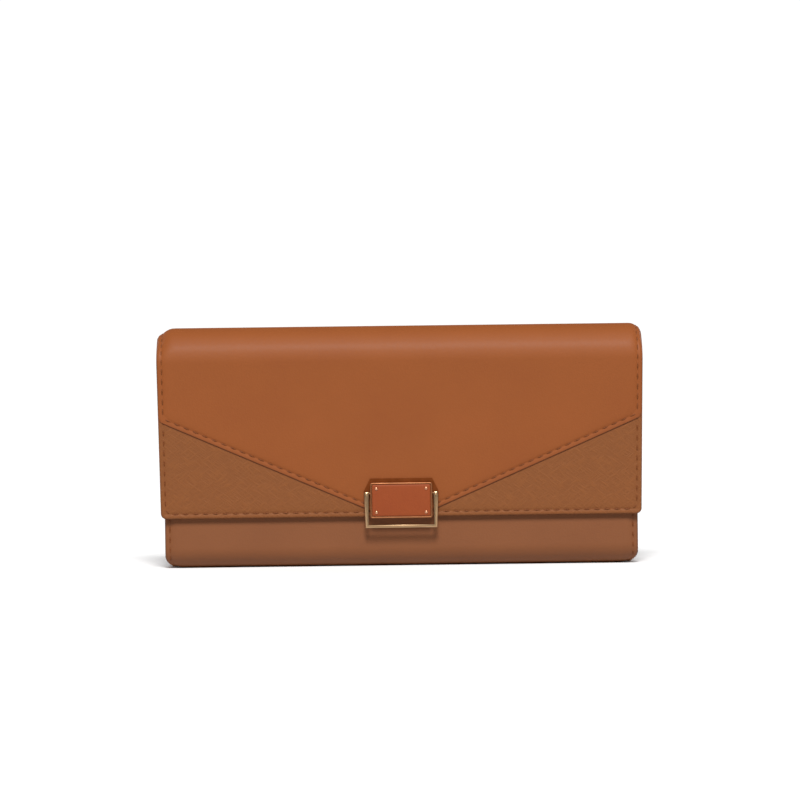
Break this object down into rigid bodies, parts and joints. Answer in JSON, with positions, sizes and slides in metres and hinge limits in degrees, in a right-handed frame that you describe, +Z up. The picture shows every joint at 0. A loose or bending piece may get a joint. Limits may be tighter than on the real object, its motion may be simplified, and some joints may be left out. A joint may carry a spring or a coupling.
{
  "type": "long flap wallet",
  "caption": "Long tan leather wallet with a rolled flap, V overlay on cross-grain corners, gold clasp with a swinging bail, zipped coin pocket, card slots and gusseted note compartments.",
  "frame": {"origin": "middle of the flat base the wallet stands on", "axes": "+X along the width to the viewer's right when facing the flap, +Y from the flap to the back panel, +Z up"},
  "size_m": [0.195, 0.0315, 0.0965],
  "materials": {
    "leather": "smooth tan leather, semi-matt",
    "cross_grain_leather": "cross-hatched embossed leather",
    "inlay_leather": "smooth reddish-tan leather",
    "lining_fabric": "woven twill lining",
    "zip_tape_fabric": "woven tape",
    "fibre_board": "pressed fibre board",
    "gold_plate": "pale gold plating on zinc alloy",
    "zip_metal": "gold-coloured zip metal",
    "steel": "plated steel",
    "magnet": "nickel-plated magnet"
  },
  "bodies": {
    "back": {"back_leather": "leather", "back_board": "fibre_board", "back_lining": "lining_fabric", "base_leather": "leather", "base_lining": "lining_fabric", "back_slots_1": "leather", "back_slots_2": "leather", "back_slots_3": "leather", "back_slots_4": "leather", "gusset_rear_left": "leather", "gusset_rear_right": "leather"},
    "roll_back": {"roll_back_leather": "leather", "roll_back_lining": "lining_fabric"},
    "roll_front": {"roll_front_leather": "leather", "roll_front_lining": "lining_fabric"},
    "flap": {"flap_overlay": "leather", "flap_corner_left": "cross_grain_leather", "flap_corner_right": "cross_grain_leather", "flap_board": "fibre_board", "flap_magnet": "magnet", "flap_lining": "lining_fabric", "clasp_backplate": "gold_plate", "clasp_plate": "gold_plate", "clasp_inlay": "inlay_leather", "clasp_studs": "gold_plate", "clasp_rivets": "steel"},
    "bail": {"clasp_bail": "gold_plate"},
    "front": {"front_leather": "leather", "front_board": "fibre_board", "front_magnet": "magnet", "front_lining": "lining_fabric", "front_slots_1": "leather", "front_slots_2": "leather", "front_slots_3": "leather", "front_slots_4": "leather", "gusset_front_left": "leather", "gusset_front_right": "leather"},
    "coin_pocket": {"pocket_front": "leather", "pocket_back": "leather", "pocket_binding_left": "leather", "pocket_binding_right": "leather", "zip_tape_front": "zip_tape_fabric", "zip_tape_back": "zip_tape_fabric", "zip_teeth_front": "zip_metal", "zip_teeth_back": "zip_metal", "zip_stops": "zip_metal"},
    "zip_slider": {"zip_slider": "zip_metal"},
    "zip_pull": {"zip_pull": "zip_metal"}
  },
  "joints": [
    {"name": "roll_back_bend", "type": "hinge", "parent": "back", "child": "roll_back", "pos_m": [0, 0.0109, 0.0894], "axis": [-1, 0, 0], "range_deg": [0, 60]},
    {"name": "roll_front_bend", "type": "hinge", "parent": "roll_back", "child": "roll_front", "pos_m": [0, -0.0014, 0.0965], "axis": [-1, 0, 0], "range_deg": [0, 60]},
    {"name": "flap_open", "type": "hinge", "parent": "roll_front", "child": "flap", "pos_m": [0, -0.0137, 0.0894], "axis": [-1, 0, 0], "range_deg": [0, 60]},
    {"name": "front_open", "type": "hinge", "parent": "back", "child": "front", "pos_m": [0, -0.0128, 0.0081], "axis": [1, 0, 0], "range_deg": [0, 18]},
    {"name": "pocket_tilt", "type": "hinge", "parent": "back", "child": "coin_pocket", "pos_m": [0, -0.0128, 0.0081], "axis": [1, 0, 0], "range_deg": [0, 9]},
    {"name": "zip_slide", "type": "slide", "parent": "coin_pocket", "child": "zip_slider", "axis": [-1, 0, 0], "range_m": [0, 0.141]},
    {"name": "zip_pull_flip", "type": "hinge", "parent": "zip_slider", "child": "zip_pull", "pos_m": [0.0705, 0, 0.07305], "axis": [0, -1, 0], "range_deg": [0, 180]},
    {"name": "bail_swing", "type": "hinge", "parent": "flap", "child": "bail", "pos_m": [0, -0.01705, 0.0295], "axis": [-1, 0, 0], "range_deg": [0, 90]}
  ],
  "couplings": [
    {"joint": "roll_back_bend", "follows": "flap_open", "ratio": 1},
    {"joint": "roll_front_bend", "follows": "flap_open", "ratio": 1},
    {"joint": "front_open", "follows": "flap_open", "ratio": 0.3},
    {"joint": "pocket_tilt", "follows": "flap_open", "ratio": 0.15}
  ]
}
